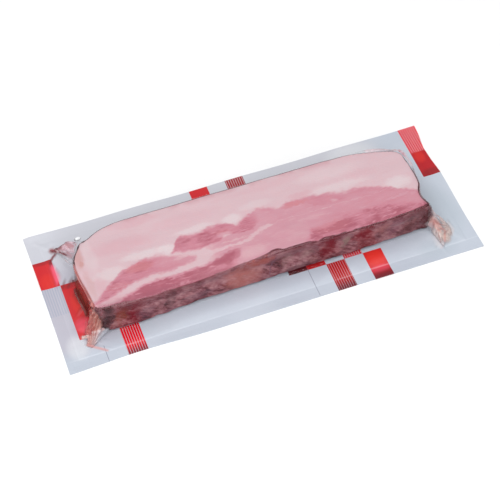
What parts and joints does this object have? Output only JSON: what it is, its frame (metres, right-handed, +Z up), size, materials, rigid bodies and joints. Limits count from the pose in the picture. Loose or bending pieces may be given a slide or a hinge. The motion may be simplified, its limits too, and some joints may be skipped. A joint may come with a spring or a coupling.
{
  "type": "bacon block",
  "caption": "Block of smoked streaky bacon, sealed under tight clear film on a flat white printed web.",
  "frame": {"origin": "middle of the pack's underside", "axes": "+X along the block, +Y across it towards the rind side, +Z up from the web to the cut face"},
  "size_m": [0.28, 0.11, 0.0253],
  "materials": {
    "filmed_bacon": "pink lean and white fat with a smoked brown side, glossy under tight film",
    "printed_film": "white laminate film with red blocks and stripes, softly glossy",
    "clear_film": "clear glossy vacuum film",
    "meat_juice": "reddish brown juice held in the film's folds"
  },
  "bodies": {
    "root": {"film_sealed_bacon": "filmed_bacon", "printed_web": "printed_film"}
  },
  "joints": []
}
